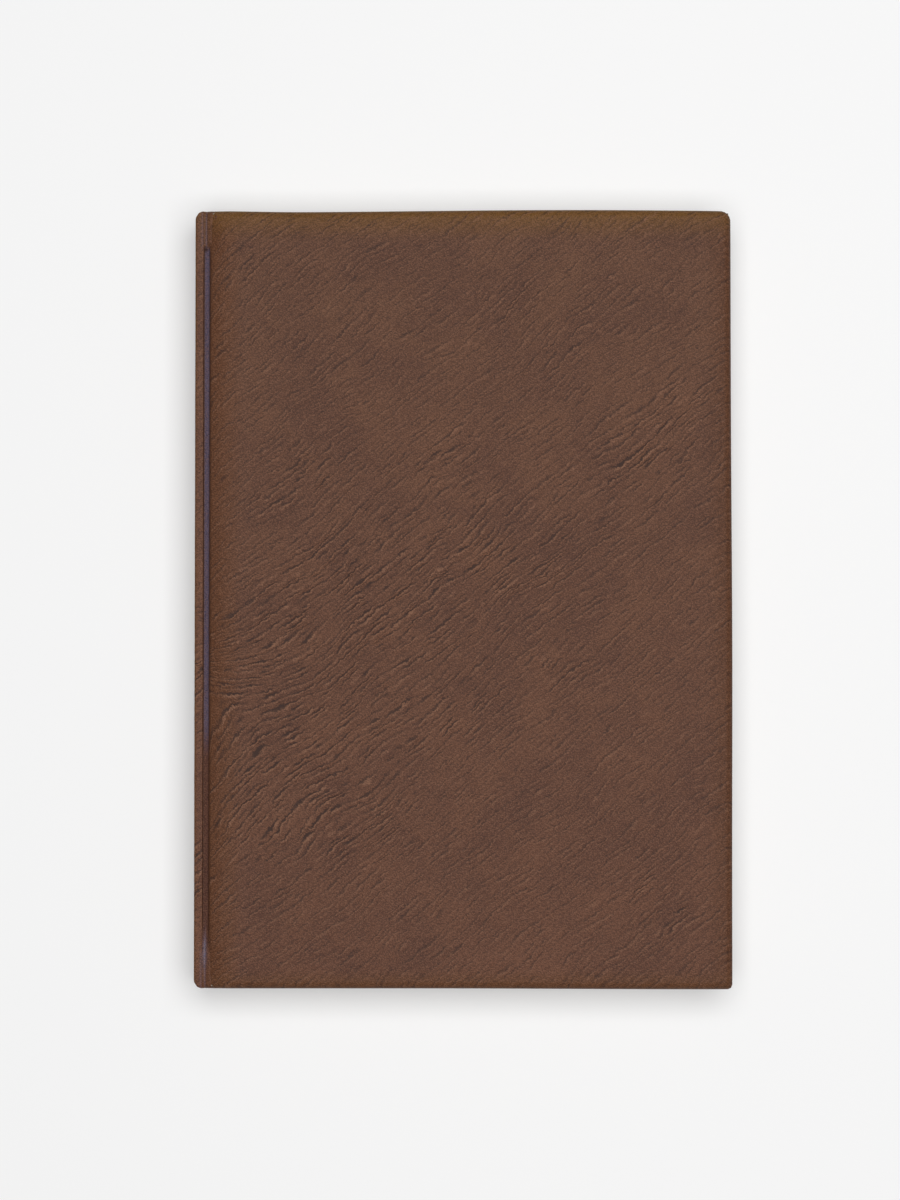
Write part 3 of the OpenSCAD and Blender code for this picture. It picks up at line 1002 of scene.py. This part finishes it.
def spine_leather(name, material):
    """The strip of leathercloth round the spine, with its two shoulders and the floors of both grooves."""
    ends = HALF_HEIGHT
    tail_end = [-ends + END_ROUND * (1 - math.sin(a)) for a in steps(math.pi / 2, 0.18, 7)]
    head_end = [ends - END_ROUND * (1 - math.sin(a)) for a in steps(0.18, math.pi / 2, 7)]
    rows = tail_end[:-1] + rows_along(ends - END_ROUND)[1:-1] + head_end[1:]
    sections = []
    for y in rows:
        section = spine_section(y)
        beyond = abs(y) - (ends - END_ROUND)
        if beyond > 0:
            pull = END_ROUND - math.sqrt(max(0.0, END_ROUND * END_ROUND - beyond * beyond))
            middle = np.array([1.2, MID_HEIGHT])
            squeeze = 1 - pull / np.array([2.6, 9.0])
            section = middle + (section - middle) * squeeze
        over = abs(y) - (ends - END_CORNER)
        if over > 0:
            inward = END_CORNER - math.sqrt(max(0.0, END_CORNER * END_CORNER - over * over))
            keep = (2.35 - inward * 0.92) / 2.35
            left = section[:, 0] < 2.35
            section[left, 0] = 2.35 - (2.35 - section[left, 0]) * keep
        sections.append(np.column_stack([section[:, 0], np.full(len(section), y), section[:, 1]]))
    sections = np.array(sections)
    flat = sections.reshape(-1, 3)
    for point in flat:
        if point[0] < 2.29:
            ripple = noise.noise(Vector((point[0] / 3, point[1] / 14, point[2] / 5)))
            fold = noise.noise(Vector((point[0] / 1.4, point[1] / 1.9, point[2] / 3 + point[1] / 4)))
            wrinkled = math.exp(-(((point[1] + 23) / 14) ** 2)) + math.exp(-(((point[1] + 74) / 7) ** 2))
            point[2] += 0.02 * ripple * (1 if point[2] > MID_HEIGHT else -1)
            point[0] += 0.03 + 0.04 * ripple + 0.05 * fold * wrinkled
    points, faces = lofted(sections)
    pocket_u, pocket_y, pocket_z = (0.62, 1.68), (-102.8, 102.8), (2.9, 16.9)
    first = len(points)
    box = [(u, y, z) for u in pocket_u for y in pocket_y for z in pocket_z]
    points = np.concatenate([points, np.array(box)])
    box_faces = [(0, 1, 3, 2), (4, 6, 7, 5), (0, 4, 5, 1), (2, 3, 7, 6), (0, 2, 6, 4), (1, 5, 7, 3)]
    faces += [[first + i for i in face] for face in box_faces]
    piece = make_piece(name, points, faces, material)
    height = points[:, 1]
    wrinkles = np.exp(-(((height + 23) / 14) ** 2)) + np.exp(-(((height + 74) / 8) ** 2))
    from_middle = np.abs(points[:, 2] - MID_HEIGHT)
    wrinkles = wrinkles * (0.15 + 0.85 * smooth(4.0, 7.2, from_middle))
    # painted glint line along the spine's shoulder where the groove is filled
    thin_line = np.exp(-(((points[:, 0] - 1.92) / 0.2) ** 2))
    thin_line = thin_line * smooth(CAP_START - 1, CAP_START + 0.5, np.abs(height))
    write_masks(
        piece,
        creased=np.clip(0.25 + 0.75 * wrinkles, 0, 1),
        # painted light on the spine's outer edge and towards the head
        olive=0.5 * smooth(0.7, 0.0, points[:, 0]) + 0.4 * smooth(6, 0, HALF_HEIGHT - height),
        # painted shade on the spine's rounded outer edge
        rubbed=smooth(1.1, 0.0, points[:, 0]),
        pressed=0.4 * thin_line * smooth(7.0, 7.4, from_middle),
    )
    return piece


# Joint leathercloth

# The groove's leathercloth, as u and z from the shoulder to the cover: pressed deep, and filled at the ends.
DEEP_GROOVE = [(2.22, 16.55), (2.31, 16.30), (2.42, 16.22), (2.6, 16.22), (2.9, 16.36), (3.2, 16.52),
               (3.5, 16.68), (3.75, 16.84), (3.88, 17.0), (3.95, 17.2), (3.99, 17.45), (4.04, 17.7),
               (4.12, 17.9), (4.22, 18.05), (4.40, 18.1), (4.7, 18.0), (5.4, 17.6)]
FILLED_GROOVE = [(1.85, 17.46), (1.97, 17.45), (2.1, 17.53), (2.4, 17.63), (2.7, 17.64), (2.92, 17.60),
                 (3.05, 17.56), (3.17, 17.60), (3.32, 17.70), (3.5, 17.80), (3.7, 17.90), (3.9, 18.00),
                 (4.15, 18.08), (4.45, 18.10), (4.8, 18.05), (5.2, 17.9), (5.8, 17.5)]


def along_path(corners, count):
    """Evenly spaced points along a smooth path through the corners."""
    corners = np.array(corners, float)
    run = np.concatenate([[0], np.cumsum(np.linalg.norm(np.diff(corners, axis=0), axis=1))])
    wanted = np.linspace(0, run[-1], count)
    return np.column_stack([np.interp(wanted, run, corners[:, i]) for i in (0, 1)])


def joint_leather(name, front, material):
    """The leathercloth of one groove, from the spine's shoulder to the cover's near edge."""
    count = 54
    deep = along_path(DEEP_GROOVE, count)
    full = along_path(FILLED_GROOVE, count)
    ends = HALF_HEIGHT - 0.05
    outer, inner = [], []
    for y in rows_along(ends):
        if y > 0:
            filled = float(smooth(CAP_START - 0.5, CAP_START + 0.7, y))
        else:
            filled = float(smooth(CAP_START - 8.0, CAP_START + 2.0, -y))
        path = deep * (1 - filled) + full * filled
        over = max(0.0, (abs(y) - (ends - 1.3)) / 1.3)
        path[:, 1] -= 1.1 * (1 - math.sqrt(max(0.0, 1 - over * over))) * filled
        slope = np.gradient(path, axis=0)
        normal = np.column_stack([-slope[:, 1], slope[:, 0]])
        normal /= np.linalg.norm(normal, axis=1)[:, None]
        below = path - 0.1 * normal
        outer.append(np.column_stack([path[:, 0], np.full(count, y), path[:, 1]]))
        inner.append(np.column_stack([below[:, 0], np.full(count, y), below[:, 1]]))
    piece = sheet_piece(name, np.array(outer), np.array(inner), front, material)
    points = np.array(outer + inner).reshape(-1, 3)
    u, y = points[:, 0], points[:, 1]
    deep_part = smooth(-CAP_START + 1, -CAP_START + 10, y) * (1 - smooth(CAP_START - 1, CAP_START + 0.5, y))
    # painted sheen on the groove's floor, strong from the head to about 32 mm below the middle, with a
    # painted glint at the tail and painted glint lines where the groove is filled
    lit = 0.12 + 0.88 * smooth(-44, -32, y)
    glint = 0.8 * np.exp(-(((y + 95) / 4) ** 2)) * np.exp(-(((u - 2.9) / 0.7) ** 2))
    thin_lines = np.exp(-(((u - 1.97) / 0.2) ** 2)) + np.exp(-(((u - 3.05) / 0.2) ** 2))
    floor_part = smooth(2.45, 2.7, u) * (1 - smooth(3.85, 4.1, u))
    # painted shade: a dark line at the foot of the shoulder and a dark notch where the groove's filling
    # begins at the head
    under_shoulder = np.exp(-(((u - 2.36) / 0.16) ** 2)) * deep_part
    notch = np.exp(-(((u - 2.9) / 0.5) ** 2) - (((y - CAP_START + 0.5) / 0.45) ** 2))
    pressed = deep_part * lit * floor_part + glint + 0.42 * thin_lines * (1 - deep_part)
    write_masks(
        piece,
        creased=np.full(len(points), 0.15),
        # painted light towards the head
        olive=0.25 * smooth(8, 0, HALF_HEIGHT - y),
        # painted shade on the cover's wall at the groove and on the groove's tail part
        rubbed=np.maximum(0.8 * smooth(3.7, 4.0, u), 0.6 * smooth(-32, -44, y)),
        pressed=np.clip(pressed, 0, 1),
        tucked=np.clip(0.75 * under_shoulder + notch, 0, 1),
    )
    return piece


# Paper

def paper_sheet(us, ys, low, high):
    """A closed sheet of paper between two heights, each given as a function of u and y."""
    grid_u, grid_y = np.meshgrid(us, ys)
    outer = np.stack([grid_u, grid_y, high(grid_u, grid_y)], -1)
    inner = np.stack([grid_u, grid_y, low(grid_u, grid_y)], -1)
    return outer, inner


def endpaper(name, front, material):
    """The pastedown with its strip over the joint, in one sheet: it steps over the turned-in leathercloth."""
    near, far, reach = 2.75, 141.5, 101.5
    bend = [HINGE_U + PAPER_START, HINGE_U + PAPER_END]
    near_rise, fore_rise, end_rise = 7.6, (130.6, 133.2), (90.6, 93.2)
    us = spaced([near, bend[0]], 0.4)[:-1] + spaced(bend, 0.022)[:-1]
    us += spaced([bend[1], near_rise], 0.25)[:-1] + spaced([near_rise, fore_rise[0]], 3.1)[:-1]
    us += spaced(fore_rise, 0.26)[:-1] + spaced([fore_rise[1], far], 1.2)
    ys = spaced([-reach, -end_rise[1]], 1.2)[:-1] + spaced([-end_rise[1], -end_rise[0]], 0.26)[:-1]
    ys += spaced([-end_rise[0], end_rise[0]], 3.05)[:-1] + spaced(end_rise, 0.26)[:-1]
    ys += spaced([end_rise[1], reach], 1.2)

    def step(u, y):
        window = smooth(bend[1] + 0.1, 7.4, u) * (1 - smooth(130.9, 132.6, u))
        return 0.63 * window * (1 - smooth(90.9, 92.6, np.abs(y)))

    outer, inner = paper_sheet(us, ys, lambda u, y: 15.1 + step(u, y), lambda u, y: 15.28 + step(u, y))
    return sheet_piece(name, outer, inner, front, material)


def flyleaf(name, front, material):
    """The loose leaf of the endpaper, lying on the pages."""
    us = spaced([2.7, 142.0], 3.0)
    ys = spaced([-102.0, 102.0], 3.0)
    outer, inner = paper_sheet(us, ys, lambda u, y: 14.9 + 0 * u, lambda u, y: 15.09 + 0 * u)
    return sheet_piece(name, outer, inner, front, material)


LEAF_INSET = 0.10
LEAF_LEAN = 0.03
LEAF_PINCH = 0.045


def page_leaves(name, edge_material):
    """The pages: leaves in thin bundles whose cut edges don't quite line up."""
    low, high = 4.9, 14.9
    bundles = 55
    leaf = (high - low) / bundles
    near, far, reach = 3.0, 142.0, 102.0
    us = spaced([near, far], 6.0)
    ys = spaced([-reach, reach], 6.0)
    loop = [(u, -reach, 0, -1) for u in us[:-1]] + [(far, y, 1, 0) for y in ys[:-1]]
    loop += [(u, reach, 0, 1) for u in us[:0:-1]] + [(near, y, -0.2, 0) for y in ys[:0:-1]]
    loop = np.array(loop, float)
    sections = []
    for i in range(bundles):
        inset = rng.uniform(0.0, LEAF_INSET)
        lean = rng.uniform(-LEAF_LEAN, LEAF_LEAN)
        for share, pinch in ((0.06, LEAF_PINCH), (0.5, 0.0), (0.94, LEAF_PINCH)):
            shift = inset + pinch + lean * np.sin(loop[:, 1] / 40) + 0.02
            ring = loop[:, :2] - loop[:, 2:] * shift[:, None]
            z = low + leaf * (i + share)
            sections.append(np.column_stack([ring, np.full(len(ring), z)]))
    sections[0][:, 2] = low
    sections[-1][:, 2] = high
    return make_piece(name, *lofted(np.array(sections)), edge_material, sharp=True)


def sewn_band(name, at_head, material, pitch):
    """The small band at the end of the spine, wound in even turns of thread."""
    low, high = 4.95, 14.85
    turns = (high - low) / pitch
    sections = []
    centre_u, block_end = 3.9, 102.02
    for share in steps(0, 1, int(turns * 8)):
        z = low + (high - low) * share
        swell = 0.80 + 0.08 * abs(math.sin(math.pi * turns * share))
        swell *= math.sqrt(max(0.08, 1 - max(0, abs(share - 0.5) * 2 - 0.97) / 0.03 * 0.9))
        ring = []
        for angle in steps(0, math.pi, 15):
            ring.append((centre_u + swell * math.cos(angle), block_end + swell * math.sin(angle), z))
        for u in steps(centre_u - swell, centre_u + swell, 6)[1:-1]:
            ring.append((u, block_end, z))
        sections.append(ring)
    sections = np.array(sections)
    if not at_head:
        sections[..., 1] *= -1
    return make_piece(name, *lofted(sections), material)


# Making the journal

scene.view_settings.view_transform = "Standard"
place_camera()
place_lights()
lay_floor()

build_pebble_grain()
build_drawn_creases()
build_cloudy_mottle()
build_paper_tooth()
build_plain_weave()

THREAD_TURN = 0.62
front_cloth = leathercloth("front leathercloth", (0, 0, 0))
back_cloth = leathercloth("back leathercloth", (311, 127, 53))
# the spine's copy is lightened 1.16 times as painted light, making up for the shade on the lower spine
spine_cloth = leathercloth("spine leathercloth", (83, 211, 17), 1.16)
joint_cloth = leathercloth("joint leathercloth", (137, 59, 29))
endpaper_stock = paper("ivory endpaper", (0.85, 0.80, 0.70), (0.82, 0.765, 0.66))
page_stock = leaf_edges("cut leaf edges")
board_stock = pressed_board("grey board")
foam_stock = open_foam("open foam")
gauze_stock = cotton("cotton mull", 0.9, (0.45, 0.43, 0.37), (0.74, 0.72, 0.64))
band_stock = wound_threads("wound band", THREAD_TURN)

front_leather = cover_leather(
    "front_cover_leather", True, (0.8, 1.2, 2.7, 0.8), FRONT_CREASES, 3.1, front_cloth
)
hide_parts("front_leather")
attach(front_leather, "front_cover")

back_leather = cover_leather(
    "back_cover_leather", False, (0.8, 2.2, 2.3, 0.8), BACK_CREASES, 8.7, back_cloth
)
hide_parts("back_leather")
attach(back_leather, "back_cover")

spine = spine_leather("spine_case_leather", spine_cloth)
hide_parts("spine_leather")
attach(spine, "book_block")

for side, is_front in (("front", True), ("back", False)):
    pad = foam_pad(f"{side}_foam_pad", is_front, foam_stock)
    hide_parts(f"{side}_padding")
    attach(pad, f"{side}_cover")

    leaf_sheet = flyleaf(f"{side}_flyleaf_sheet", is_front, endpaper_stock)
    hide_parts(f"{side}_flyleaf")
    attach(leaf_sheet, "book_block")

    strip = joint_leather(f"{side}_joint_leather", is_front, joint_cloth)
    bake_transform(strip)

    lining = endpaper(f"{side}_endpaper", is_front, endpaper_stock)
    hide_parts(f"{side}_pastedown")
    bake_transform(lining)

leaves = page_leaves("page_leaves", page_stock)
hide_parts("page_block")
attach(leaves, "book_block")

for end, at_head in (("head", True), ("tail", False)):
    band = sewn_band(f"{end}_wound_band", at_head, band_stock, THREAD_TURN)
    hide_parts(f"{end}_band")
    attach(band, "book_block")

for node, stock in (
    ("front_board", board_stock),
    ("back_board", board_stock),
    ("spine_board", board_stock),
    ("spine_gauze", gauze_stock),
):
    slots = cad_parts[node].data.materials
    if len(slots) == 0:
        slots.append(stock)
    for i in range(len(slots)):
        slots[i] = stock
